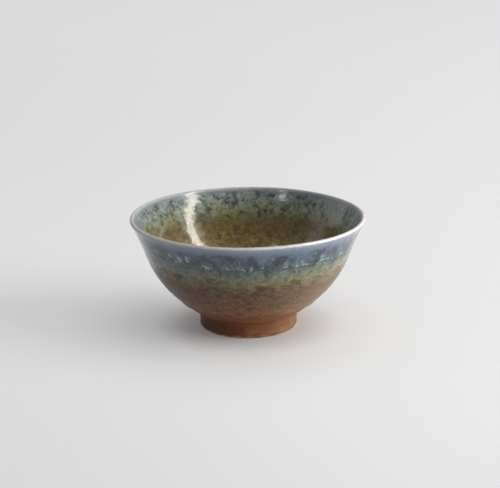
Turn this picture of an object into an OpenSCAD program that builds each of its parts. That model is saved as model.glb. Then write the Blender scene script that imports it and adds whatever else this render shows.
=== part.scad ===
// Matcha bowl: thrown stoneware on a luted foot ring, dipped in a base glaze,
// banded at the lip with a second, runnier glaze, and washed with iron at the foot.
// The origin is the centre of the resting face, and +Z is the throwing axis.
// Every piece is a turned shape, so each one is a closed outline swept round that axis.

/* [Bowl] */
// Diameter over the glazed lip
rim_d = 125; // [115:1:135]
// Height from the resting face to the top of the lip
bowl_h = 60.6; // [56:0.1:68]
// Thickness of the clay at the lip
lip_t = 1.8; // [1.4:0.1:2.6]
// How far the wall leans outwards at the lip, in degrees
lip_lean = 33; // [24:1:36]
// Slope of the wall where it leaves the foot, in degrees
seat_slope = 30; // [26:1:36]
// Thickness of the clay along the middle of the wall
wall_t = 3; // [2.6:0.1:3.8]
// Thickness of the clay where the wall meets the foot
base_t = 5.2; // [4.4:0.1:6]
// Height of the floor of the tea well, at the centre
well_z = 10.6; // [9.8:0.1:11.4]

/* [Foot] */
// Diameter of the foot ring at its top
foot_d = 52.2; // [48:0.2:56]
// Height of the foot, from the resting face to the bowl's seat
foot_h = 8.6; // [8:0.1:9.4]
// How far the ring's outer face draws in towards the resting face
foot_taper = 0.5; // [0:0.1:1]
// Width of the ring at its top
foot_w = 5.9; // [5:0.1:7]
// Thickness of the slip that lutes the ring to the bowl
slip_t = 0.4; // [0.3:0.1:0.8]
// Width of the bevel on each edge of the resting face
foot_bevel = 0.8; // [0.5:0.1:1.2]
// Height of the bowl's underside above the table, just off the centre of the recess
recess_z = 6.4; // [6:0.1:7]
// Height of the small peak left by the turning tool at that centre
nub_h = 0.6; // [0:0.1:0.8]

/* [Glaze] */
// Thickness of the base glaze on the walls
glaze_t = 0.4; // [0.3:0.05:0.6]
// Extra depth of base glaze pooled in the tea well
pool_t = 0.5; // [0:0.1:1]
// Extra thickness of the rolled edge where the outside glaze stopped running
roll_t = 0.25; // [0:0.05:0.4]
// Thickness of the second glaze round the lip
band_t = 0.3; // [0.2:0.05:0.5]
// Share of both glazes that stays on the lip after the rest ran down
lip_share = 0.45; // [0.3:0.05:0.8]
// Height where the second glaze fades out, outside and inside
band_z = 38; // [32:1:44]
// Thickness of the iron wash on the foot
wash_t = 0.15; // [0.1:0.05:0.2]
// Height of the bare clay edge left below the wash
bare_h = 1.3; // [1.3:0.1:2.5]

/* [Hidden] */
$fn = 144;
edge_t = 0.08;               // thickness of any coat at its own edge
wall_steps = 45;             // points along the wall, a multiple of its three stretches
lip_steps = 8;               // points round the lip
well_steps = 12;             // points from the wall to the centre of the well
slip_steps = 5;              // points along the squeezed-out slip
slip_reach = 1;              // wall points that the slip covers
glaze_from = 8;              // wall point where the outside glaze stops
foot_r = foot_d / 2;
ring_z = foot_h - slip_t;    // top of the foot ring
ring_in = foot_r - foot_w;   // inner radius of the ring at its top

// Base, lip and crown of the wall, as [radius, height]
seat = [foot_r + 0.25, foot_h];
lip_coat = (glaze_t + band_t) * lip_share;
lip_normal = [cos(lip_lean), -sin(lip_lean)];
crown = [rim_d / 2 - lip_coat - lip_t / 2, bowl_h - lip_coat - lip_t / 2];
lip = crown + lip_normal * lip_t / 2;

// The outside of the wall, from the seat to the lip: [share of the way out, share of the way up, slope]
WALL_LINE = [[0, 0, seat_slope], [0.441, 0.258, 45.5], [0.798, 0.687, 71], [1, 1, 90 - lip_lean]];
WALL = [for (s = WALL_LINE) [seat[0] + s[0] * (lip[0] - seat[0]), seat[1] + s[1] * (lip[1] - seat[1])]];
SLOPES = [for (s = WALL_LINE) [cos(s[2]), sin(s[2])]];

// A smooth curve through points, with a direction at each one, at a share k of its way
function hermite(a, b, ta, tb, t) =
    a * (2 * t ^ 3 - 3 * t ^ 2 + 1) + ta * (t ^ 3 - 2 * t ^ 2 + t)
    + b * (3 * t ^ 2 - 2 * t ^ 3) + tb * (t ^ 3 - t ^ 2);
function smooth(p, way, k) =
    let (x = k * (len(p) - 1), i = min(floor(x), len(p) - 2), chord = norm(p[i + 1] - p[i]))
    hermite(p[i], p[i + 1], way[i] * chord, way[i + 1] * chord, x - i);
function unit(v) = v / norm(v);
function right_of(v) = unit([v[1], -v[0]]);
function ease(a, b, x) =
    let (t = min(max((x - a) / (b - a), 0), 1))
    t * t * (3 - 2 * t);

// The wall: its outside at a share k of the way up, its normal and its thickness there
function outside(k) = smooth(WALL, SLOPES, k);
function normal(k) = right_of(outside(min(k + 0.01, 1)) - outside(max(k - 0.01, 0)));
function clay_t(k) = lip_t + (wall_t - lip_t) * ease(1, 0.55, k) + (base_t - wall_t) * ease(0.45, 0, k);
function inside(k) = outside(k) - normal(k) * clay_t(k);

// The tea well carries the inside wall's line on to the axis, where it is level
well_edge = inside(0);
well_fall = [normal(0)[1], -normal(0)[0]] * base_t * 2.4;
function well(t) = hermite(well_edge, [0, well_z], well_fall, [-well_edge[0], 0], t);
function well_normal(t) =
    t == 1 ? [0, 1] : right_of(well(t + 0.01) - well(t - 0.01));

// The clay's glazed line, from the seat up the outside, over the lip and down into the well.
// Each entry is [point, outward normal].
OUTER = [for (i = [0:wall_steps]) [outside(i / wall_steps), i == wall_steps ? lip_normal : normal(i / wall_steps)]];
LIP = [for (i = [1:lip_steps - 1])
    let (a = 180 * i / lip_steps - lip_lean, n = [cos(a), sin(a)])
    [crown + n * lip_t / 2, n]];
INNER = [for (i = [wall_steps:-1:0])
    let (k = i / wall_steps)
    i == wall_steps ? [lip - lip_normal * lip_t, -lip_normal] : [inside(k), -normal(k)]];
WELL = [for (i = [1:well_steps]) [well(i / well_steps), well_normal(i / well_steps)]];
SKIN = concat(OUTER, LIP, INNER, WELL);
crown_i = wall_steps + lip_steps / 2;
inner_i = wall_steps + lip_steps;

// The foot's outer face, and the slip squeezed out between it and the wall
function ring_r(z) = foot_r - foot_taper * (1 - z / ring_z);
slip_foot = [ring_r(ring_z - 1.2), ring_z - 1.2];
slip_corner = [ring_r(ring_z), ring_z + 0.1];
SLIP_ARC = [for (i = [0:slip_steps])
    let (t = i / slip_steps)
    slip_foot * (1 - t) ^ 2 + slip_corner * 2 * t * (1 - t) + OUTER[slip_reach][0] * t ^ 2];

// Coat thicknesses at entry i of the glazed line
function base_coat(i) =
    let (p = SKIN[i][0], in_well = i >= crown_i ? 1 - ease(0, well_edge[0], p[0]) : 0,
        at_roll = i < crown_i ? 1 - ease(0, 3, i - glaze_from) : 0)
    glaze_t * (1 - (1 - lip_share) * ease(lip[1] - 7, lip[1], p[1]))
    + pool_t * in_well
    + (i == glaze_from ? edge_t - glaze_t : roll_t * at_roll);
function band_coat(i) =
    let (z = SKIN[i][0][1])
    edge_t + (band_t - edge_t) * ease(band_z, band_z + 12, z)
    - band_t * (1 - lip_share) * ease(lip[1] - 7, lip[1], z);

// A coat between two lines of points
module turned(line_a, line_b) {
    back = [for (i = [len(line_b) - 1:-1:0]) line_b[i]];
    rotate_extrude()
        polygon(concat(line_a, back));
}
function raised(i, t) = SKIN[i][0] + SKIN[i][1] * t;

module clay_bowl() {
    under = [[0, recess_z - nub_h], [3, recess_z], [ring_in, foot_h]];
    under_way = [unit([1, 0.1]), unit([1, 0.05]), unit([1, 1])];
    under_steps = 14;
    color("#cdbfa6")
        turned([for (s = SKIN) s[0]],
            [for (i = [under_steps:-1:0]) smooth(under, under_way, i / under_steps)]);
}

module foot_ring() {
    taper_in = 0.6;  // the recess opens slightly towards the table
    color("#b9906c")
        rotate_extrude()
            polygon([
                [ring_in + taper_in + foot_bevel, 0],
                [ring_r(0) - foot_bevel, 0],
                [ring_r(foot_bevel), foot_bevel],
                slip_foot,
                [foot_r, ring_z],
                [ring_in, ring_z],
                [ring_in + taper_in, foot_bevel]
            ]);
}

module joint_slip() {
    color("#a8805e")
        rotate_extrude()
            polygon(concat(
                [[ring_in, ring_z], [foot_r, ring_z]],
                SLIP_ARC,
                [for (i = [slip_reach - 1:-1:0]) OUTER[i][0]],
                [[ring_in, foot_h]]
            ));
}

module inside_glaze() {
    span = [crown_i:len(SKIN) - 1];
    color("#6f5a34")
        turned([for (i = span) SKIN[i][0]], [for (i = span) raised(i, base_coat(i))]);
}

module outside_glaze() {
    span = [glaze_from:crown_i];
    color("#7a5436")
        turned([for (i = span) SKIN[i][0]], [for (i = span) raised(i, base_coat(i))]);
}

module rim_glaze() {
    span = [for (i = [glaze_from:inner_i + wall_steps]) if (SKIN[i][0][1] >= band_z) i];
    color("#5d7387")
        turned([for (i = span) raised(i, base_coat(i))],
            [for (i = span) raised(i, base_coat(i) + band_coat(i))]);
}

module foot_wash() {
    edge = [ring_r(bare_h), bare_h];
    wall = [for (i = [slip_reach + 1:glaze_from]) OUTER[i][0]];
    line = concat([edge], SLIP_ARC, wall);
    last = len(line) - 1;
    over = [for (i = [0:last])
        let (n = right_of(line[min(i + 1, last)] - line[max(i - 1, 0)]))
        line[i] + n * (i == 0 || i == last ? edge_t : wash_t)];
    color("#7b4630")
        turned(line, over);
}

clay_bowl();
foot_ring();
joint_slip();
inside_glaze();
outside_glaze();
rim_glaze();
foot_wash();
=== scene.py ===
import math

import bpy
import numpy as np
from mathutils import Matrix, Vector

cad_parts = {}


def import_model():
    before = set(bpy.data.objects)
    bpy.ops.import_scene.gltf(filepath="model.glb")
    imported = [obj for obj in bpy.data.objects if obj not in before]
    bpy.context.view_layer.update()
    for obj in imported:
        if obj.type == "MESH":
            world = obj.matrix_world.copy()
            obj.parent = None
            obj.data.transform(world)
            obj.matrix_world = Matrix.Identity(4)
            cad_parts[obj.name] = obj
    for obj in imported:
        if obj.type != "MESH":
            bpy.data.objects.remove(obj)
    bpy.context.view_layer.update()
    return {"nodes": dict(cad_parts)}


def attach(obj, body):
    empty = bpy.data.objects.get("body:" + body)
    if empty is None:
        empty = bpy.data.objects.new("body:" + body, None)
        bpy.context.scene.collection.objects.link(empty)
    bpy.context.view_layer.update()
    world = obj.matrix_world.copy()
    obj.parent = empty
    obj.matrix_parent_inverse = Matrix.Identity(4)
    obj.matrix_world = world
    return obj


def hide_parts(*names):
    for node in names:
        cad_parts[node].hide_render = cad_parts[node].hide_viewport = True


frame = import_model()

# Sizes along the bowl are in millimetres, as in the CAD source. Blender's own are in metres.
# "run" is the distance along the glazed wall from the lip's crown: outside it is positive, inside negative.
MM = 0.001
TURN = 2 * math.pi
AROUND = 480                 # points round the bowl in each turned piece
THETA = np.arange(AROUND) * TURN / AROUND
CORNER = math.radians(30)    # an outline that bends more than this at a point has a corner there
SAME_POINT = 0.004           # points of two outlines that are this close are the same point
LEVEL = 1e6                  # for a wave so long that it is the same all the way down the wall

RING_PITCH = 4.3             # throwing rings, from one to the next
RING_DEPTH = 0.014
SWELL = 0.035                # slow unevenness of the thrown wall
RIDGE_HEIGHT = 48.0          # the throwing line outside that the glaze breaks over
RIDGE_PROUD = 0.09
RIDGE_WIDTH = 0.45
HOLLOW_WIDTH = 0.55          # the groove under that line
HOLLOW_FALL = 1.1            # from the line's crest to the groove's bottom
MOUTH_HEIGHT = 60            # near enough the lip's height, where the bowl is most out of true
LIP_SWAY = 0.22              # how far the lip rises and falls
OVAL = 0.0014                # how far the mouth is out of round, as a share
RIM_END = 40.5               # height where the rim glaze ends between its drips
DRIPS_OUT = 17
DRIPS_IN = 15
DRIP_LENGTH = 5.5            # longest drip of the rim glaze
DRIP_WIDTH = 2.6
COLOUR_DRIFT = 0.75          # how far a drip carries its colour down, as a share of its length
BEAD = 0.45                  # how much thicker a drip's end is, as a share
EDGE_WAVE = 0.75             # lower edge of the outside glaze, up and down
WASH_LAP = 1.6               # how far the wash runs on under the glaze
BRUSH_WAVE = 0.35            # lower edge of the wash, up and down
RECESS_TOP = 8.5             # what lies lower on the clay bowl is its underside, inside the foot
SPIRAL_PITCH = 1.9           # turning mark there
SPIRAL_DEPTH = 0.09
FOOT_EDGE = 25.0             # radius of the foot's outer resting edge
FOOT_LINE_PITCH = 1.15       # turning lines on the foot's faces, from one to the next
FOOT_LINE_DEPTH = 0.025
CHIPS = 7                    # small nicks along the foot's resting edge
CHIP_DEPTH = 0.55
CHIP_WIDTH = 0.9
FOOT_WEAR = 0.05             # how unevenly the resting face is worn
SQUEEZED_SLIP = 0.16         # how far the slip stands out inside the ring
FLOW_RADIUS = 50             # the angle goes to the materials as a point on a circle of this radius
PAINTED_LIGHT_SIDE = math.radians(-20)    # the side toward the window lamps, painted paler as painted light, with painted shade behind
STRIP_LEAN = math.radians(4)  # the bright strip window leans, so its reflection stays upright
FLOOR_GLOW = 0.26            # the floor glows by itself: painted light that keeps its shadows pale
BOWL_MIDDLE = (0, 0, 0.03)   # where the lights point


# ================================================================ outlines of the CAD nodes

def outline(cad_node):
    """A CAD node's half section, [radius, height], in order along its edge.

    It is read off the turned solid's seam, where y is 0 and x is positive. The line of a solid that
    reaches the axis runs from its highest point there to its lowest."""
    mesh = frame["nodes"][cad_node].data
    points = np.array([v.co[:] for v in mesh.vertices]) / MM
    unique, index = np.unique(np.round(points, 4), axis=0, return_inverse=True)
    edges = index.ravel()[np.array([e.vertices[:] for e in mesh.edges])]
    on_seam = (abs(unique[:, 1]) < 2e-3) & (unique[:, 0] > -1e-3)
    edges = edges[on_seam[edges].all(axis=1) & (edges[:, 0] != edges[:, 1])]
    beside = {}
    for a, b in edges:
        beside.setdefault(a, set()).add(b)
        beside.setdefault(b, set()).add(a)
    ends = [i for i in beside if len(beside[i]) == 1]
    path = [max(ends or beside, key=lambda i: unique[i, 2])]
    onward = sorted(beside[path[0]])
    while onward:
        path.append(onward[0])
        onward = [i for i in sorted(beside[path[-1]]) if i not in path]
    return unique[path][:, [0, 2]]


def free_side(cad_node, under):
    """The part of a coat's outline that doesn't lie on the points of what is under it."""
    line = outline(cad_node)
    lies = np.array([np.hypot(*(under - point).T).min() < SAME_POINT for point in line])
    start = int(np.argmax(lies & ~np.roll(lies, -1))) + 1
    return np.roll(line, -start, axis=0)[~np.roll(lies, -start)]


def soften(points, radius, closed=True):
    """Rounds each corner of an outline with a short curve."""
    out = []
    for i, corner in enumerate(points):
        back, on = points[i - 1] - corner, points[(i + 1) % len(points)] - corner
        a, b = np.hypot(*back), np.hypot(*on)
        bend = math.acos(max(-1.0, min(1.0, -float(back @ on) / (a * b))))
        if bend < CORNER or not closed and i in (0, len(points) - 1):
            out.append(corner)
            continue
        start, end = (corner + way * min(radius / length, 0.4) for way, length in ((back, a), (on, b)))
        out += [start * (1 - u) ** 2 + corner * 2 * u * (1 - u) + end * u * u
                for u in (0, 1 / 3, 2 / 3, 1)]
    return np.array(out)


class Line:
    """A smooth curve through an outline's points, by the distance along it."""

    def __init__(self, points, zero_at=0):
        self.points = np.asarray(points, float)
        steps = np.hypot(*np.diff(self.points, axis=0).T)
        self.run = np.concatenate([[0], np.cumsum(steps)])
        self.run -= self.run[zero_at]
        self.way = np.gradient(self.points, self.run, axis=0)

    def at(self, run):
        run = np.clip(run, self.run[0], self.run[-1])
        i = np.clip(np.searchsorted(self.run, run, "right") - 1, 0, len(self.run) - 2)
        span = self.run[i + 1] - self.run[i]
        u = ((run - self.run[i]) / span)[..., None]
        span = span[..., None]
        ends = self.points[i] * (2 * u**3 - 3 * u**2 + 1) + self.points[i + 1] * (3 * u**2 - 2 * u**3)
        return ends + self.way[i] * span * (u**3 - 2 * u**2 + u) + self.way[i + 1] * span * (u**3 - u**2)

    def normal(self, run, reach=0.3):
        """Unit normals to the left of the way along the line."""
        way = self.at(run + reach) - self.at(run - reach)
        way = way / np.hypot(way[..., 0], way[..., 1])[..., None]
        return np.stack([-way[..., 1], way[..., 0]], -1)


def filled(points, step, closed=True):
    """An outline with points added so that no gap is longer than the step."""
    line = Line(np.vstack([points, points[:1]]) if closed else points)
    spans = zip(line.run, line.run[1:])
    gaps = [np.linspace(a, b, math.ceil((b - a) / step), endpoint=False) for a, b in spans]
    every = line.at(np.concatenate(gaps + [line.run[-1:]]))
    return every[:-1] if closed else every


CLAY = outline("clay_bowl")
INSIDE = free_side("inside_glaze", CLAY)
OUTSIDE = free_side("outside_glaze", CLAY)[::-1]
BASE = Line(np.vstack([INSIDE, OUTSIDE[1:]]), zero_at=len(INSIDE) - 1)   # surface of the two base glazes
RUN_IN, RUN_OUT = BASE.run[0], BASE.run[-1]
NEAR = np.linspace(RUN_IN, RUN_OUT, 3000)
NEAR_POINTS = BASE.at(NEAR)


def run_at(height, side=1):
    """The run at which the base glaze reaches a height, outside or, with side -1, inside."""
    here = NEAR * side > 1
    return NEAR[here][np.argmin(abs(NEAR_POINTS[here, 1] - height))]


def nearest_run(points):
    """For each point of an outline, the run of the nearest glazed surface and the distance to it."""
    gap = np.hypot(points[:, None, 0] - NEAR_POINTS[:, 0], points[:, None, 1] - NEAR_POINTS[:, 1])
    return NEAR[gap.argmin(axis=1)], gap.min(axis=1)


# ================================================================ the marks of the hand

def smooth(low, high, value):
    """0 below low, 1 above high, and a smooth step between."""
    u = np.clip((value - low) / (high - low), 0, 1)
    return u * u * (3 - 2 * u)


def rolling(seed, waves, most_round, shortest):
    """A smooth random surface over the angle and the run, about -1 to 1, the same on every call."""
    draw = np.random.default_rng(seed)
    rounds = draw.integers(0, most_round + 1, waves)
    along = draw.uniform(-1, 1, waves) * TURN / shortest
    phase = draw.uniform(0, TURN, waves)

    def surface(theta, run):
        each = (np.cos(m * theta + k * run + start) for m, k, start in zip(rounds, along, phase))
        return sum(each) / math.sqrt(waves)
    return surface


def bumps(seed, count, longest, width, radius):
    """Separate smooth tongues round a circle, as a function of the angle: drips, or nicks."""
    draw = np.random.default_rng(seed)
    place = (np.arange(count) + draw.uniform(-0.42, 0.42, count)) * TURN / count
    length = longest * draw.uniform(0.25, 1, count) ** 1.5
    wide = width * draw.uniform(0.6, 1.4, count) / radius

    def reach(theta):
        gap = (theta[..., None] - place + math.pi) % TURN - math.pi
        return (length * np.exp(-(gap / wide) ** 2)).sum(axis=-1)
    return reach


slow_swell = rolling(seed=11, waves=14, most_round=5, shortest=16)
ring_drift = rolling(seed=12, waves=6, most_round=3, shortest=60)
edge_ripple = rolling(seed=13, waves=16, most_round=26, shortest=LEVEL)
fine_ripple = rolling(seed=14, waves=20, most_round=60, shortest=LEVEL)
ridge_drift = rolling(seed=15, waves=8, most_round=7, shortest=LEVEL)
ridge_break = rolling(seed=16, waves=14, most_round=30, shortest=LEVEL)
drips_out = bumps(seed=21, count=DRIPS_OUT, longest=DRIP_LENGTH, width=DRIP_WIDTH, radius=54)
drips_in = bumps(seed=22, count=DRIPS_IN, longest=DRIP_LENGTH, width=DRIP_WIDTH, radius=50)
foot_chips = bumps(seed=31, count=CHIPS, longest=CHIP_DEPTH, width=CHIP_WIDTH, radius=FOOT_EDGE)


def relief(theta, run):
    """How far the thrown and glazed wall stands out from the CAD surface."""
    rings = np.cos(TURN * run / RING_PITCH + theta + 1.2 * ring_drift(theta, run))
    ridge_run = run_at(RIDGE_HEIGHT) + 0.35 * ridge_drift(theta, 0)
    crest = np.exp(-((run - ridge_run) / RIDGE_WIDTH) ** 2)
    hollow = 0.9 * np.exp(-((run - ridge_run - HOLLOW_FALL) / HOLLOW_WIDTH) ** 2)
    ridge = RIDGE_PROUD * (0.8 + 0.3 * ridge_break(theta, 0)) * (crest - hollow)
    fade = smooth(0.5, 5, abs(run)) * smooth(RUN_OUT - 0.5, RUN_OUT - 5, run)
    return fade * (RING_DEPTH * rings + SWELL * slow_swell(theta, run)) + ridge


def out_of_round(xyz):
    """The whole bowl's slight lean from a true turned form, least at the foot. Millimetres."""
    x, y, z = xyz[..., 0], xyz[..., 1], xyz[..., 2]
    theta = np.arctan2(y, x)
    up = np.clip(z / MOUTH_HEIGHT, 0, 1)
    wide = 1 + OVAL * up * (np.cos(2 * theta + 0.5) + 0.6 * np.cos(3 * theta + 2.0))
    rise = LIP_SWAY * up**4 * (0.6 * np.cos(2 * theta + 1.3) + 0.4 * np.cos(5 * theta) - 0.35)
    return np.stack([x * wide, y * wide, z + rise], -1)


def colour_run(theta, run):
    """The run that the glaze's colour follows: the melt carries colour down with each drip."""
    outside = run - COLOUR_DRIFT * drips_out(theta) * smooth(4, 22, run)
    inside = run + COLOUR_DRIFT * drips_in(theta) * smooth(-4, -22, run)
    return np.where(run > 0, outside, inside)


# ================================================================ turned pieces

def turned_points(rings, run, closed):
    """The places and the "flow" of a turned piece's points: every ring's, or the two tips' last."""
    spin = np.stack([np.cos(THETA), np.sin(THETA)], -1)
    xyz = np.concatenate([rings[..., :1] * spin, rings[..., 1:]], -1)
    flow = np.concatenate([np.broadcast_to(spin * FLOW_RADIUS, xyz[..., :2].shape), run[..., None]], -1)
    if closed:
        return xyz.reshape(-1, 3), flow.reshape(-1, 3)
    tips = [[0, 0, rings[j, 0, 1]] for j in (0, -1)]
    tip_flow = [[0, 0, run[j, 0]] for j in (0, -1)]
    return np.vstack([xyz[1:-1].reshape(-1, 3), tips]), np.vstack([flow[1:-1].reshape(-1, 3), tip_flow])


def turned_faces(count, closed):
    """Four-sided faces between a number of rings, and fans of triangles from the tips if not closed."""
    ring = np.arange(count * AROUND).reshape(count, AROUND)
    lower = np.roll(ring, -1, axis=0) if closed else ring[1:]
    upper = ring if closed else ring[:-1]
    quads = np.stack([upper, lower, np.roll(lower, -1, axis=1), np.roll(upper, -1, axis=1)], -1)
    faces = quads.reshape(-1, 4).tolist()
    if not closed:
        top_tip, bottom_tip = ring.size, ring.size + 1
        faces += [(top_tip, int(a), int(b)) for a, b in zip(ring[0], np.roll(ring[0], -1))]
        faces += [(bottom_tip, int(b), int(a)) for a, b in zip(ring[-1], np.roll(ring[-1], -1))]
    return faces


def turned_mesh(name, rings, run, closed=True):
    """A mesh from rings[j, i] = [radius, height] of ring j at the angle i.

    A piece that isn't closed reaches the axis at both ends, with one point at each. The points carry
    the angle and the run as the attribute "flow", for the materials."""
    xyz, flow = turned_points(rings, run, closed)
    faces = turned_faces(len(rings) if closed else len(rings) - 2, closed)
    mesh = bpy.data.meshes.new(name)
    mesh.from_pydata((out_of_round(xyz) * MM).tolist(), [], faces)
    radius, height = rings[:, 0, 0], rings[:, 0, 1]
    anticlockwise = (radius * np.roll(height, -1) - np.roll(radius, -1) * height).sum() > 0
    if anticlockwise:
        mesh.flip_normals()
    mesh.attributes.new("flow", "FLOAT_VECTOR", "POINT").data.foreach_set("vector", flow.ravel())
    mesh.shade_smooth()
    piece = bpy.data.objects.new(name, mesh)
    bpy.context.scene.collection.objects.link(piece)
    return piece


def rings_on_wall(points):
    """Rings through an outline's points, following the wall's relief where they are near it."""
    run, gap = nearest_run(points)
    weight = smooth(5, 2, gap)
    push = relief(THETA[None, :], run[:, None]) * weight[:, None]
    rings = points[:, None, :] + BASE.normal(run)[:, None, :] * push[..., None]
    return rings, np.broadcast_to(run[:, None], push.shape)


def slide(rings, points, anchor, reach, way, amount):
    """Moves the rings near an anchor point along a way, by an amount for each angle."""
    weight = smooth(reach, 0, np.hypot(*(points - anchor).T))
    way = np.array(way) / math.hypot(*way)
    return rings + (weight[:, None] * amount)[..., None] * way


def clay_body():
    """The thrown bowl under the glazes, with the spiral left by turning in its recess."""
    points = filled(CLAY, step=1.3, closed=False)
    rings, run = rings_on_wall(points)
    radius = points[:, 0]
    under = (points[:, 1] < RECESS_TOP) * smooth(20.1, 18.5, radius) * smooth(0.8, 3, radius)
    marks = np.cos(TURN * radius[:, None] / SPIRAL_PITCH - THETA) + 0.5 * slow_swell(THETA, radius[:, None])
    rings[..., 1] += under[:, None] * SPIRAL_DEPTH * marks
    return turned_mesh("clay_body", rings, run, closed=False)


def foot_ring():
    """The turned foot: soft bevels, faint turning lines and small nicks at its resting edge."""
    points = filled(soften(outline("foot_ring"), radius=0.5), step=0.45)
    rings = np.repeat(points[:, None, :], AROUND, axis=1)
    radius, height = points[:, :1], points[:, 1:]
    upright = (height > 0.7) & (height < 7.2)
    lines = FOOT_LINE_DEPTH * np.cos(TURN * height / FOOT_LINE_PITCH + THETA)
    rings[..., 0] += upright * (lines + 0.03 * slow_swell(THETA, height))
    near_edge = np.exp(-(np.hypot(radius - FOOT_EDGE, height) / 0.7) ** 2)
    rings[..., 1] += near_edge * foot_chips(THETA)
    rings[..., 0] -= 0.6 * near_edge * foot_chips(THETA)
    resting = height < 0.05
    worn = FOOT_WEAR * (1 + edge_ripple(THETA, 0)) * resting
    rings[..., 1] = np.maximum(rings[..., 1] + np.clip(worn, 0, None), 0)
    run = np.broadcast_to(height, rings.shape[:2])
    return turned_mesh("foot_ring_turned", rings, run)


def slip_seam():
    """The slip that joins the foot to the bowl, squeezed out a little inside the ring."""
    corner = outline("foot_ring")[1]
    points = filled(soften(outline("joint_slip"), radius=0.12), step=0.5)
    rings = np.repeat(points[:, None, :], AROUND, axis=1)
    squeezed = SQUEEZED_SLIP * (1 + 0.8 * edge_ripple(THETA, 0))
    rings = slide(rings, points, corner, reach=0.9, way=(-1, 0.2), amount=squeezed)
    return turned_mesh("slip_seam", rings, np.zeros(rings.shape[:2]))


def iron_wash():
    """The wash on the lowest wall and the foot, with a brushed lower edge."""
    line = outline("foot_wash")
    top, bottom = line[line[:, 1].argmax()], line[line[:, 1].argmin()]
    points = filled(line, step=0.6)
    rings, run = rings_on_wall(points)
    rings = slide(rings, points, top, reach=4.5, way=top - line[1], amount=np.full(AROUND, WASH_LAP))
    brushed = BRUSH_WAVE * (0.35 + edge_ripple(THETA, 0) + 0.35 * fine_ripple(THETA, 0))
    rings = slide(rings, points, bottom, reach=3.2, way=(0.06, 1), amount=brushed)
    return turned_mesh("iron_wash_skin", rings, run)


def inside_glaze():
    """The base glaze inside, pooled in the tea well."""
    points = filled(outline("inside_glaze"), step=1.15, closed=False)
    rings, run = rings_on_wall(points)
    return turned_mesh("inside_glaze_skin", rings, colour_run(THETA, run), closed=False)


def outside_glaze():
    """The base glaze outside, whose rolled lower edge wanders."""
    points = filled(outline("outside_glaze"), step=0.9)
    rings, run = rings_on_wall(points)
    wander = EDGE_WAVE * (0.8 * edge_ripple(THETA, 0) + 0.3 * fine_ripple(THETA, 0) - 0.1)
    rings = slide(rings, points, OUTSIDE[-1], reach=7, way=OUTSIDE[-3] - OUTSIDE[-2], amount=wander)
    return turned_mesh("outside_glaze_skin", rings, colour_run(THETA, run))


def rim_coat():
    """The rim glaze's thickness in the CAD, smoothed, at each run of NEAR. Its thin ends are left out."""
    line_run, thick = nearest_run(free_side("rim_glaze", NEAR_POINTS))
    order = np.argsort(line_run)[4:-4]
    weight = np.exp(-((NEAR[:, None] - line_run[order]) / 2.5) ** 2) + 1e-9
    return (weight * thick[order]).sum(axis=1) / weight.sum(axis=1)


def on_wall(run, height):
    """Rings on the thrown wall at the runs given for each angle, raised by a height."""
    return BASE.at(run) + BASE.normal(run) * (relief(THETA, run) + height)[..., None]


def rim_glaze():
    """The second glaze over the lip, thinning to drips on both walls."""
    wave_out = 0.5 * edge_ripple(THETA, 0) + 0.3 * fine_ripple(THETA, 0)
    wave_in = 0.5 * edge_ripple(THETA + 2, 0) + 0.3 * fine_ripple(THETA, 0)
    low_out = run_at(RIM_END) + drips_out(THETA) + wave_out
    low_in = run_at(RIM_END, -1) - drips_in(THETA) - wave_in
    # Rings from the inside edge, at -1, over the crown of the lip to the outside edge, at 1
    inner_share, outer_share = np.linspace(-1, 0, 46), np.linspace(0, 1, 84)
    share = np.concatenate([inner_share ** 3 * 0.12 + inner_share * 0.88, outer_share[1:]])[:, None]
    run = np.where(share < 0, -share * low_in, share * low_out)
    to_edge = np.where(run < 0, run - low_in, low_out - run)
    bead = 1 + BEAD * np.exp(-((to_edge - 2.2) / 1.3) ** 2)
    top = on_wall(run, np.interp(run, NEAR, rim_coat()) * bead * smooth(-0.5, 5.5, to_edge) - 0.02)
    # The side that lies on the base glaze needs only every fourth ring
    few = np.unique(np.concatenate([np.arange(0, len(share), 4), [len(share) - 1]]))[::-1]
    under = on_wall(run[few], -0.04)
    every_run = colour_run(THETA, np.concatenate([run, run[few]]))
    return turned_mesh("rim_glaze_skin", np.concatenate([top, under]), every_run)


# ================================================================ shader nodes

def srgb(*levels):
    """A colour from 0-255 levels, as Blender's linear values."""
    shares = [level / 255 for level in levels]
    return tuple(s / 12.92 if s <= 0.04 else ((s + 0.055) / 1.055) ** 2.4 for s in shares) + (1.0,)


def node(tree, kind, inputs=None, **settings):
    """Adds a shader node; each input is a value or another node's output."""
    made = tree.nodes.new("ShaderNode" + kind)
    for key, value in settings.items():
        setattr(made, key, value)
    for key, value in (inputs or {}).items():
        if isinstance(value, bpy.types.NodeSocket):
            tree.links.new(value, made.inputs[key])
        else:
            made.inputs[key].default_value = value
    return made


def calc(tree, operation, *values):
    return node(tree, "Math", dict(enumerate(values)), operation=operation).outputs[0]


def times(tree, value, *factors):
    for factor in factors:
        value = calc(tree, "MULTIPLY", value, factor)
    return value


def times_plus(tree, value, factor, added):
    return calc(tree, "MULTIPLY_ADD", value, factor, added)


def moved_by(tree, value, pattern, amount):
    """A value moved up or down by a pattern whose middle is 0.5."""
    return times_plus(tree, calc(tree, "SUBTRACT", pattern, 0.5), amount, value)


def step(tree, value, low, high, start=0.0, end=1.0):
    """A smooth step from start to end as the value goes from low to high."""
    inputs = {"Value": value, "From Min": low, "From Max": high, "To Min": start, "To Max": end}
    return node(tree, "MapRange", inputs, interpolation_type="SMOOTHSTEP").outputs[0]


def within(tree, value, none, full, still, gone):
    """1 while the value is from full to still, and 0 before none and after gone."""
    return times(tree, step(tree, value, none, full), step(tree, value, gone, still))


def between(tree, share, a, b):
    """Mixes two values."""
    return node(tree, "Mix", {0: share, 2: a, 3: b}, data_type="FLOAT").outputs[0]


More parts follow.
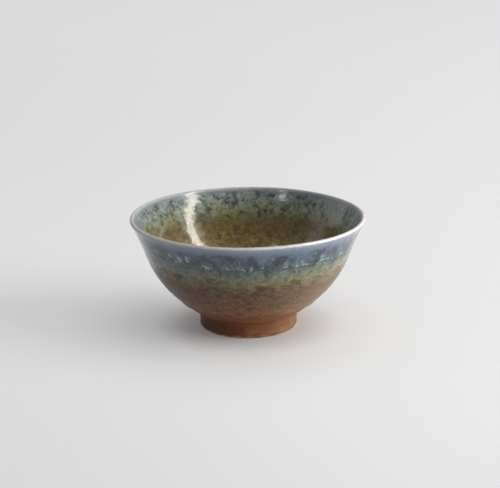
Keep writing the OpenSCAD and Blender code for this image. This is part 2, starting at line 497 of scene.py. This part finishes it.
def blend(tree, share, a, b, how="MIX"):
    """Mixes two colours."""
    return node(tree, "Mix", {0: share, 6: a, 7: b}, data_type="RGBA", blend_type=how).outputs[2]


def grey(tree, level):
    return node(tree, "CombineColor", {0: level, 1: level, 2: level}).outputs[0]


def part(tree, vector, index):
    return node(tree, "SeparateXYZ", {0: vector}).outputs[index]


def scaled(tree, vector, *factors):
    """A vector with each of its parts scaled, so that a pattern in it stretches the other way."""
    return node(tree, "VectorMath", {0: vector, 1: factors}, operation="MULTIPLY").outputs[0]


def ramp(tree, value, span, stops):
    """Colours along a scale: stops are (place, colour) with places from 0 to the span."""
    made = node(tree, "ValToRGB", {0: calc(tree, "DIVIDE", value, span)})
    scale = made.color_ramp
    scale.interpolation = "EASE"
    scale.elements[0].position, scale.elements[1].position = stops[0][0] / span, stops[-1][0] / span
    scale.elements[0].color, scale.elements[1].color = stops[0][1], stops[-1][1]
    for place, colour in stops[1:-1]:
        scale.elements.new(place / span).color = colour
    return made.outputs[0]


def noise(tree, place, size, detail=3.0, rough=0.55, warp=0.0):
    """Noise whose features are about this size, in the units of the place."""
    inputs = {"Vector": place, "Scale": 1 / size, "Detail": detail, "Roughness": rough, "Distortion": warp}
    return node(tree, "TexNoise", inputs).outputs[0]


def cells(tree, place, size):
    return node(tree, "TexVoronoi", {"Vector": place, "Scale": 1 / size}, feature="F1")


def dots(tree, place, size, radius, share, soft=0.12):
    """Round spots in some of the cells: 1 inside a spot."""
    cell = cells(tree, place, size)
    inside = step(tree, cell.outputs["Distance"], radius, radius - soft)
    chosen = node(tree, "SeparateColor", {0: cell.outputs["Color"]}).outputs[0]
    return times(tree, inside, calc(tree, "LESS_THAN", chosen, share))


def place_in_mm(tree):
    """The position on the object, in millimetres."""
    inputs = {0: node(tree, "TexCoord").outputs["Object"], "Scale": 1 / MM}
    return node(tree, "VectorMath", inputs, operation="SCALE").outputs[0]


def flow_of(tree):
    return node(tree, "Attribute", attribute_name="flow").outputs["Vector"]


def toward_painted_light(tree, flow):
    """1 on the side of the bowl toward the window lamps, where light is painted on, and -1 behind, where
    shade is painted on.
    """
    toward = (math.cos(PAINTED_LIGHT_SIDE) / FLOW_RADIUS, math.sin(PAINTED_LIGHT_SIDE) / FLOW_RADIUS, 0)
    return node(tree, "VectorMath", {0: flow, 1: toward}, operation="DOT_PRODUCT").outputs["Value"]


def painted_light_factor(tree, flow, amount):
    """A factor for painted light and shade: above 1 toward the window lamps and below 1 behind, or the
    other way for an amount below 0.
    """
    return times_plus(tree, toward_painted_light(tree, flow), amount, 1.0)


# ================================================================ the glazes' shared colour

# Colours down the outside wall by height above the floor, and down the inside by run.
OUTSIDE_COLOURS = (
    # The pale stop at the lip's crown is partly the glaze breaking thin over the lip and partly a painted
    # highlight along the crown.
    (60.6, srgb(204, 202, 198)),
    (59.9, srgb(138, 143, 152)),
    (58.0, srgb(112, 121, 136)),
    (56.0, srgb(94, 105, 123)),
    (53.5, srgb(66, 78, 96)),
    (49.5, srgb(64, 78, 86)),
    (46.0, srgb(70, 82, 81)),
    (43.0, srgb(86, 93, 78)),
    (40.0, srgb(100, 99, 72)),
    (37.0, srgb(101, 85, 56)),
    (33.0, srgb(88, 62, 37)),
    (26.0, srgb(92, 62, 35)),
    (20.5, srgb(106, 65, 28)),
    # The paler band at 17.5 mm is partly the glaze's own colour at its rolled lower edge and partly a
    # painted highlight where that edge catches light.
    (17.5, srgb(120, 73, 31)),
    (15.0, srgb(98, 54, 25)),
)
INSIDE_COLOURS = (
    # The pale stops nearest the lip are partly the glaze thinning over it and partly a painted highlight,
    # which also lightens the far rim.
    (0.6, srgb(204, 202, 200)),
    (1.8, srgb(158, 162, 166)),
    (3.2, srgb(120, 128, 128)),
    (6.5, srgb(116, 126, 118)),
    (10.0, srgb(122, 130, 112)),
    (15.0, srgb(124, 124, 90)),
    (19.0, srgb(120, 108, 64)),
    (24.0, srgb(124, 102, 54)),
    (32.0, srgb(148, 126, 72)),
    (45.0, srgb(108, 86, 44)),
    (62.0, srgb(88, 72, 38)),
    (78.0, srgb(80, 76, 48)),
    (92.0, srgb(66, 70, 48)),
)
DARK_TEAL = srgb(32, 48, 54)
POOL_BLUE = srgb(33, 47, 60)
THIN_BLUE = srgb(112, 128, 136)
TURQUOISE = srgb(146, 164, 160)
IRON_CLOT = srgb(46, 30, 20)
IRON_PATCH = srgb(44, 31, 22)
OCHRE = srgb(134, 110, 76)
IRON_SPECK = srgb(34, 30, 24)
# the pale colour of painted light on the lower wall's side toward the window lamps
PAINTED_LIGHT_PALE = srgb(206, 190, 150)
GROOVE_DARK = srgb(36, 46, 50)
CREST_PALE = srgb(150, 158, 156)


class GlazeMarks:
    """The patterns in one node tree that the glazes' colour and surface are built from."""

    def __init__(self, tree):
        self.here = place_in_mm(tree)
        self.flow = flow_of(tree)
        self.run = part(tree, self.flow, 2)
        self.far = calc(tree, "ABSOLUTE", self.run)          # distance from the crown of the lip
        self.outer = step(tree, self.run, -0.3, 0.3)         # 1 on the outside wall, 0 on the inside
        self.clouds = noise(tree, self.here, size=9.0)
        self.streaks = noise(tree, scaled(tree, self.flow, 1, 1, 0.13), size=3.4, rough=0.6)
        self.curds = noise(tree, self.here, size=3.4, rough=0.62, warp=0.3)
        self.grains = noise(tree, self.here, size=1.5, detail=2, rough=0.6)
        self.curdled = calc(tree, "ADD", times(tree, self.curds, 0.55), times(tree, self.grains, 0.45))
        self.tall = scaled(tree, self.flow, 1, 1, 0.6)       # for spots drawn out down the wall
        self.pools = noise(tree, self.tall, size=7.0, rough=0.5, warp=0.6)
        self.moved = self.wandering(tree)
        self.broken = self.broken_band(tree)
        self.rust = step(tree, self.moved, 20, 30)           # 1 where the iron glaze is bare
        iron_specks = dots(tree, self.here, size=1.9, radius=0.2, share=0.55, soft=0.07)
        self.specks = times(tree, iron_specks, step(tree, self.far, 2.5, 5))

    def wandering(self, tree):
        """The distance from the lip that the colours go by: it wanders, except close to the lip."""
        away = self.far
        for pattern, amount in ((self.clouds, 10.0), (self.streaks, 5.5), (self.curds, 9.0)):
            away = moved_by(tree, away, pattern, amount)
        return between(tree, step(tree, self.far, 0.8, 9.0), self.far, away)

    def broken_band(self, tree):
        """1 where the rim glaze lies over the iron glaze and breaks up, 0 at the lip and lower down."""
        outside = within(tree, self.moved, 6, 10, 14, 20)
        inside = times(tree, step(tree, self.far, 2, 5), step(tree, self.moved, 22, 11))
        return between(tree, self.outer, inside, outside)


def bands(tree, marks):
    """The bands of colour from the lip down both walls."""
    stops_out = [(max(0.0, run_at(height)), colour) for height, colour in OUTSIDE_COLOURS]
    colour_out = ramp(tree, marks.moved, RUN_OUT + 1, stops_out)
    colour_in = ramp(tree, marks.moved, 1 - RUN_IN, INSIDE_COLOURS)
    return blend(tree, marks.outer, colour_in, colour_out)


def curdle(tree, marks, colour):
    """Light and dark curdling, strongest where the glaze is broken and faint at the lip."""
    contrast = times_plus(tree, marks.broken, 2.6, step(tree, marks.far, 1.5, 24, 0.8, 3.2))
    tone = calc(tree, "MAXIMUM", moved_by(tree, 1.0, marks.curdled, contrast), 0.3)
    # Outside, the side toward the window lamps is painted lighter and the far side darker: painted light
    # and shade.
    tone = times(tree, tone, painted_light_factor(tree, marks.flow, times(tree, marks.outer, 0.25)))
    return blend(tree, 1.0, colour, grey(tree, tone), "MULTIPLY")


def break_up(tree, marks, colour):
    """Dark teal blotches, blue pools and pale turquoise spots and runs."""
    uneven = calc(tree, "ADD", times(tree, marks.curds, 0.6), times(tree, marks.streaks, 0.4))
    dark = step(tree, uneven, 0.48, 0.42)
    colour = blend(tree, times(tree, dark, marks.broken, 0.6), colour, DARK_TEAL)
    pooled = times(tree, within(tree, marks.moved, 4.5, 8, 13, 17), marks.outer)
    # Fewer deep blue pools toward the window lamps and more behind: painted light and shade.
    deep = times(tree, pooled, step(tree, marks.pools, 0.51, 0.43), painted_light_factor(tree, marks.flow, -0.15))
    colour = blend(tree, times(tree, deep, 0.75), colour, POOL_BLUE)
    thin = times(tree, pooled, step(tree, marks.pools, 0.54, 0.64))
    colour = blend(tree, times(tree, thin, 0.4), colour, THIN_BLUE)
    spots = dots(tree, marks.tall, size=4.6, radius=0.34, share=0.6, soft=0.16)
    spots = times(tree, spots, step(tree, marks.grains, 0.36, 0.46))
    runs = times(tree, step(tree, marks.streaks, 0.56, 0.66), step(tree, marks.grains, 0.45, 0.6))
    light = times(tree, calc(tree, "MAXIMUM", spots, times(tree, runs, 0.6)), marks.broken)
    return blend(tree, times(tree, light, 0.68), colour, TURQUOISE)


def iron(tree, marks, colour):
    """Dark brown clots and patches, ochre grains and iron specks, mostly in the bare iron glaze."""
    around = scaled(tree, marks.flow, 0.6, 0.6, 1.3)
    lumps = noise(tree, around, size=2.6, rough=0.62, warp=0.5)
    strength = step(tree, marks.outer, 0.0, 1.0, 0.3, 0.6)
    clots = times(tree, step(tree, lumps, 0.49, 0.43), marks.rust, strength)
    colour = blend(tree, clots, colour, IRON_CLOT)
    blots = noise(tree, around, size=4.6, detail=2, rough=0.5, warp=0.8)
    low = within(tree, marks.moved, 18, 22, 27, 35)
    patches = times(tree, low, marks.outer, step(tree, blots, 0.49, 0.41))
    colour = blend(tree, times(tree, patches, 0.7), colour, IRON_PATCH)
    grains = times(tree, step(tree, marks.grains, 0.58, 0.68), marks.rust)
    colour = blend(tree, times(tree, grains, 0.45), colour, OCHRE)
    return blend(tree, times(tree, marks.specks, 0.75), colour, IRON_SPECK)


def paint_lit_side_paler(tree, marks, colour):
    """Painted light: toward the window lamps the lower wall outside is painted paler and greyer."""
    side = step(tree, toward_painted_light(tree, marks.flow), 0.35, 1.0)
    low = step(tree, marks.moved, 13, 20)
    return blend(tree, times(tree, side, low, marks.outer, 0.12), colour, PAINTED_LIGHT_PALE)


def throwing_line(tree, marks, colour):
    """The glaze breaks along the throwing line outside: a dark groove under a paler crest."""
    line = run_at(RIDGE_HEIGHT)
    wobble = moved_by(tree, marks.run, marks.clouds, 2.0)
    groove = within(tree, wobble, line, line + 0.8, line + 1.2, line + 2.2)
    groove = times(tree, groove, step(tree, marks.curds, 0.46, 0.57))
    colour = blend(tree, times(tree, groove, 0.6), colour, GROOVE_DARK)
    crest = within(tree, wobble, line - 1.1, line - 0.4, line, line + 0.5)
    crest = times(tree, crest, step(tree, marks.grains, 0.44, 0.56), step(tree, marks.pools, 0.5, 0.56))
    # The pale crest is stronger toward the window lamps and fainter behind: painted light over the glaze's
    # own break.
    crest = times(tree, crest, painted_light_factor(tree, marks.flow, 0.5))
    return blend(tree, times(tree, crest, 0.55), colour, CREST_PALE)


def glaze_height(tree, marks):
    """The waviness, curdling and pinholes of the glaze's surface, in millimetres."""
    skin = noise(tree, marks.here, size=3.2, detail=2, rough=0.5)
    pits = dots(tree, marks.here, size=1.7, radius=0.13, share=0.35, soft=0.09)
    return times_plus(tree, pits, -0.05, times_plus(tree, skin, 0.07, times(tree, marks.curdled, 0.07)))


def glaze_roughness(tree, marks):
    """Glossy, but duller on curds, on the iron glaze outside and on the specks."""
    rough = step(tree, marks.curds, 0.35, 0.7, 0.13, 0.26)
    rough = times_plus(tree, times(tree, marks.rust, marks.outer), 0.18, rough)
    return times_plus(tree, marks.specks, 0.25, rough)


def kiln_colour():
    """A node group shared by the three glazes, so that they match where they meet."""
    tree = bpy.data.node_groups.new("kiln_colour", "ShaderNodeTree")
    marks = GlazeMarks(tree)
    colour = bands(tree, marks)
    for change in (curdle, break_up, iron, paint_lit_side_paler, throwing_line):
        colour = change(tree, marks, colour)
    results = (
        ("Color", "NodeSocketColor", colour),
        ("Roughness", "NodeSocketFloat", glaze_roughness(tree, marks)),
        ("Height", "NodeSocketFloat", glaze_height(tree, marks)),
    )
    out = tree.nodes.new("NodeGroupOutput")
    for name, kind, socket in results:
        tree.interface.new_socket(name, in_out="OUTPUT", socket_type=kind)
        tree.links.new(socket, out.inputs[name])
    return tree


# ================================================================ materials

def material(name):
    """A new material with a Principled shader: returns it, its tree and the shader."""
    made = bpy.data.materials.new(name)
    made.use_nodes = True
    tree = made.node_tree
    tree.nodes.clear()
    shader = tree.nodes.new("ShaderNodeBsdfPrincipled")
    out = tree.nodes.new("ShaderNodeOutputMaterial")
    tree.links.new(shader.outputs[0], out.inputs["Surface"])
    return made, tree, shader


def finish_shader(tree, shader, colour, rough, height, strength, **constants):
    """Links colour, roughness and a bump from a height in millimetres, and sets the shader's constants."""
    bump = node(tree, "Bump", {"Strength": strength, "Distance": MM, "Height": height}).outputs[0]
    linked = {"Base Color": colour, "Roughness": rough, "Normal": bump, "Coat Normal": bump}
    for name, socket in linked.items():
        tree.links.new(socket, shader.inputs[name])
    for name, value in constants.items():
        shader.inputs[name.replace("_", " ")].default_value = value


def glaze(name, group, coat):
    """A glaze, with a coat of clear gloss over it."""
    made, tree, shader = material(name)
    kiln = node(tree, "Group", node_tree=group).outputs
    finish_shader(tree, shader, kiln["Color"], kiln["Roughness"], kiln["Height"], strength=0.8,
                  IOR=1.42, Coat_Weight=coat, Coat_Roughness=0.06, Coat_IOR=1.5)
    return made


def wash_material():
    """Satin iron wash: warm brown, brushed round the foot, thin and ochre in patches."""
    made, tree, shader = material("satin_iron_wash")
    here = place_in_mm(tree)
    brush = noise(tree, scaled(tree, here, 0.22, 0.22, 2.2), size=1.6, rough=0.6)
    clouds = noise(tree, here, size=8.0)
    grain = noise(tree, here, size=0.55, rough=0.6)
    colour = ramp(tree, part(tree, here, 2), 16.0, (
        (0.0, srgb(134, 90, 54)),
        (2.2, srgb(114, 67, 38)),
        (6.0, srgb(107, 60, 33)),
        (8.4, srgb(112, 65, 36)),
        # The paler stop at 9.8 mm, where the foot meets the wall, is a painted highlight along that
        # shoulder.
        (9.8, srgb(128, 80, 46)),
        (15.5, srgb(112, 64, 32)),
    ))
    colour = blend(tree, times(tree, step(tree, clouds, 0.52, 0.7), 0.55), colour, srgb(130, 100, 58))
    colour = blend(tree, times(tree, step(tree, clouds, 0.46, 0.3), 0.5), colour, srgb(70, 42, 28))
    colour = blend(tree, step(tree, brush, 0.35, 0.65, 0.0, 0.3), colour, srgb(72, 40, 24))
    colour = blend(tree, times(tree, step(tree, grain, 0.6, 0.72), 0.35), colour, srgb(156, 116, 74))
    spots = dots(tree, here, size=2.4, radius=0.16, share=0.4, soft=0.07)
    colour = blend(tree, times(tree, spots, 0.75), colour, srgb(36, 24, 18))
    # The wash is painted lighter toward the window lamps and darker behind, with a faint pale painted
    # highlight on the most lit side: painted light and shade.
    tone = painted_light_factor(tree, flow_of(tree), 0.15)
    colour = blend(tree, 1.0, colour, grey(tree, tone), "MULTIPLY")
    colour = blend(tree, step(tree, tone, 1.05, 1.15, 0.0, 0.06), colour, srgb(200, 186, 150))
    height = times_plus(tree, brush, 0.06, times(tree, grain, 0.05))
    rough = step(tree, clouds, 0.3, 0.7, 0.42, 0.56)
    finish_shader(tree, shader, colour, rough, height, strength=0.8, IOR=1.4, Specular_IOR_Level=0.34)
    return made


def clay_material(name, light, dark, speck_share=0.35):
    """Bare fired stoneware: toasted, sandy, with grog and iron specks."""
    made, tree, shader = material(name)
    here = place_in_mm(tree)
    toast = noise(tree, here, size=11.0, detail=4)
    sand = noise(tree, here, size=0.5, rough=0.65)
    grog = cells(tree, here, size=1.1).outputs["Distance"]
    colour = blend(tree, step(tree, toast, 0.35, 0.65), light, dark)
    colour = blend(tree, step(tree, sand, 0.52, 0.7, 0.0, 0.35), colour, srgb(196, 164, 124))
    colour = blend(tree, step(tree, sand, 0.45, 0.3, 0.0, 0.4), colour, srgb(84, 56, 38))
    specks = dots(tree, here, size=2.0, radius=0.17, share=speck_share, soft=0.06)
    colour = blend(tree, times(tree, specks, 0.85), colour, srgb(42, 28, 22))
    height = times_plus(tree, sand, 0.09, times(tree, grog, 0.05))
    rough = step(tree, sand, 0.3, 0.7, 0.72, 0.9)
    finish_shader(tree, shader, colour, rough, height, strength=1.0, IOR=1.4)
    return made


def floor_painted_light(tree, here):
    """The floor's painted light, by place in metres: more behind, less toward the front and the left as
    painted shade, and least round the foot that stands on it as a painted contact shadow."""
    across, back = part(tree, here, 0), part(tree, here, 1)
    # painted shade toward the front and the left, where the bowl's shadow falls
    near = step(tree, times_plus(tree, across, 0.6, back), -0.3, -0.02, 0.75, 1.0)
    level = calc(tree, "ADD", near, step(tree, back, 0.3, 1.4, 0.0, 0.3))
    away = node(tree, "VectorMath", {0: here}, operation="LENGTH").outputs["Value"]
    # painted contact shadow: the glow falls to 0.4 close round the foot
    return grey(tree, times(tree, level, step(tree, away, 0.026, 0.055, 0.4, 1.0)))


def floor_material():
    made, tree, shader = material("pale_studio_floor")
    here = node(tree, "TexCoord").outputs["Object"]
    soft = noise(tree, here, size=0.5)
    colour = blend(tree, soft, (0.625, 0.622, 0.619, 1), (0.655, 0.652, 0.649, 1))
    rough = step(tree, soft, 0.3, 0.7, 0.75, 0.85)
    height = times(tree, noise(tree, here, size=0.002, detail=2), 0.02)
    # The floor's emission is painted light, not a lamp: it lightens the shadows beside and under the bowl
    finish_shader(tree, shader, colour, rough, height, strength=0.3,
                  Specular_IOR_Level=0.2, Emission_Strength=FLOOR_GLOW)
    tree.links.new(floor_painted_light(tree, here), shader.inputs["Emission Color"])
    return made


# ================================================================ the studio

def floor():
    """A wide round sheet under the bowl."""
    rings = np.concatenate([np.linspace(0.02, 0.4, 8), np.geomspace(0.5, 9.0, 12)])
    sides = 96
    angle = np.arange(sides) * TURN / sides
    low = -0.02 * MM   # just clear of the foot's resting face
    points = [(0.0, 0.0, low)] + [(r * math.cos(a), r * math.sin(a), low) for r in rings for a in angle]
    faces = [(0, 1 + i, 1 + (i + 1) % sides) for i in range(sides)]
    for j in range(len(rings) - 1):
        a, b = 1 + j * sides, 1 + (j + 1) * sides
        faces += [(a + i, b + i, b + (i + 1) % sides, a + (i + 1) % sides) for i in range(sides)]
    mesh = bpy.data.meshes.new("studio_floor")
    mesh.from_pydata(points, [], faces)
    sheet = bpy.data.objects.new("studio_floor", mesh)
    bpy.context.scene.collection.objects.link(sheet)
    mesh.materials.append(floor_material())


def area_light(name, place, size, watts, colour=(1, 1, 1), glossy=True, diffuse=True):
    """A rectangular light that points at the bowl. Without glossy it shows in no reflection, and without
    diffuse it shows in reflections only."""
    data = bpy.data.lights.new(name, "AREA")
    data.shape = "RECTANGLE"
    data.size, data.size_y = size
    data.energy = watts
    data.color = colour
    light = bpy.data.objects.new(name, data)
    light.location = place
    light.rotation_euler = (Vector(BOWL_MIDDLE) - Vector(place)).to_track_quat("-Z", "Y").to_euler()
    light.visible_glossy = glossy
    light.visible_diffuse = diffuse
    bpy.context.scene.collection.objects.link(light)
    return light


def world():
    """A pale room: brighter to the right, darker behind the camera."""
    made = bpy.data.worlds.new("pale_room")
    made.use_nodes = True
    tree = made.node_tree
    tree.nodes.clear()
    way = node(tree, "TexCoord").outputs["Generated"]
    side = step(tree, part(tree, way, 0), -1, 1)
    front = step(tree, part(tree, way, 1), -1, 0.2)
    colour = blend(tree, side, (0.45, 0.46, 0.48, 1), (0.92, 0.92, 0.93, 1))
    colour = blend(tree, front, (0.37, 0.37, 0.38, 1), colour)
    back = node(tree, "Background", {"Color": colour, "Strength": 0.6})
    out = tree.nodes.new("ShaderNodeOutputWorld")
    tree.links.new(back.outputs[0], out.inputs["Surface"])
    bpy.context.scene.world = made


def camera():
    """A long lens, a little above the bowl, at the photograph's viewing angle."""
    away, fall = 0.9, math.radians(17.08)
    middle = Vector((0, 0, 0.0303))
    aim, yaw, roll = math.radians(16.21), math.radians(0.078), math.radians(-0.54)
    data = bpy.data.cameras.new("camera")
    data.lens = 120.9
    data.sensor_width = 36
    data.clip_end = 50
    eye = bpy.data.objects.new("camera", data)
    place = middle + Vector((0, -away * math.cos(fall), away * math.sin(fall)))
    way = Vector((math.sin(yaw) * math.cos(aim), math.cos(yaw) * math.cos(aim), -math.sin(aim)))
    turn = way.to_track_quat("-Z", "Y").to_matrix() @ Matrix.Rotation(roll, 3, "Z")
    eye.matrix_world = Matrix.Translation(place) @ turn.to_4x4()
    bpy.context.scene.collection.objects.link(eye)
    bpy.context.scene.camera = eye


def lights():
    daylight, warm = (1.0, 0.985, 0.965), (1.0, 0.95, 0.88)
    area_light("overhead", (0.4, 0.2, 1.9), size=(2.2, 2.2), watts=10.6, glossy=False)
    area_light("window", (1.5, -0.3, 0.62), size=(1.3, 1.0), watts=19, colour=daylight, glossy=False)
    area_light("low_window", (1.3, -0.4, 0.13), size=(0.9, 0.2), watts=9, colour=daylight)
    # The bright strip down the inside wall, and the two soft reflections at its far side
    side, up, away = math.radians(-13), math.radians(31), 1.25
    place = away * Vector((math.cos(side) * math.cos(up), math.sin(side) * math.cos(up), math.sin(up)))
    strip = area_light("window_strip", place, size=(0.2, 1.1), watts=9.5, colour=warm, diffuse=False)
    strip.rotation_euler.rotate_axis("Z", STRIP_LEAN)
    area_light("far_lamp", (-0.62, -0.55, 1.0), size=(0.15, 0.07), watts=0.3, diffuse=False)
    area_light("far_panel", (-1.31, 0.5, 0.63), size=(1.3, 0.8), watts=1.6, diffuse=False)


def studio():
    floor()
    world()
    camera()
    lights()
    bpy.context.scene.view_settings.view_transform = "Standard"


# ================================================================ assembly

def assemble():
    group = kiln_colour()
    bare = clay_material("bare_stoneware", srgb(170, 132, 96), srgb(128, 84, 56))
    toasted = clay_material("toasted_foot_stoneware", srgb(158, 116, 76), srgb(112, 70, 44), 0.5)
    dry_slip = clay_material("dry_slip", srgb(176, 146, 112), srgb(150, 116, 84), 0.1)
    # piece, the CAD node it stands for, a slot name that nothing here reads, its material
    parts = (
        (clay_body(), "clay_bowl", "stoneware", bare),
        (foot_ring(), "foot_ring", "foot_stoneware", toasted),
        (slip_seam(), "joint_slip", "slip", dry_slip),
        (iron_wash(), "foot_wash", "iron_wash", wash_material()),
        (inside_glaze(), "inside_glaze", "inside_glaze", glaze("inside_iron_glaze", group, coat=0.6)),
        (outside_glaze(), "outside_glaze", "outside_glaze", glaze("outside_iron_glaze", group, coat=0.0)),
        (rim_glaze(), "rim_glaze", "rim_glaze", glaze("blue_rim_glaze", group, coat=0.45)),
    )
    for piece, replaced, slot, look in parts:
        piece.data.materials.append(look)
        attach(piece, "root")
        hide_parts(replaced)


assemble()
studio()
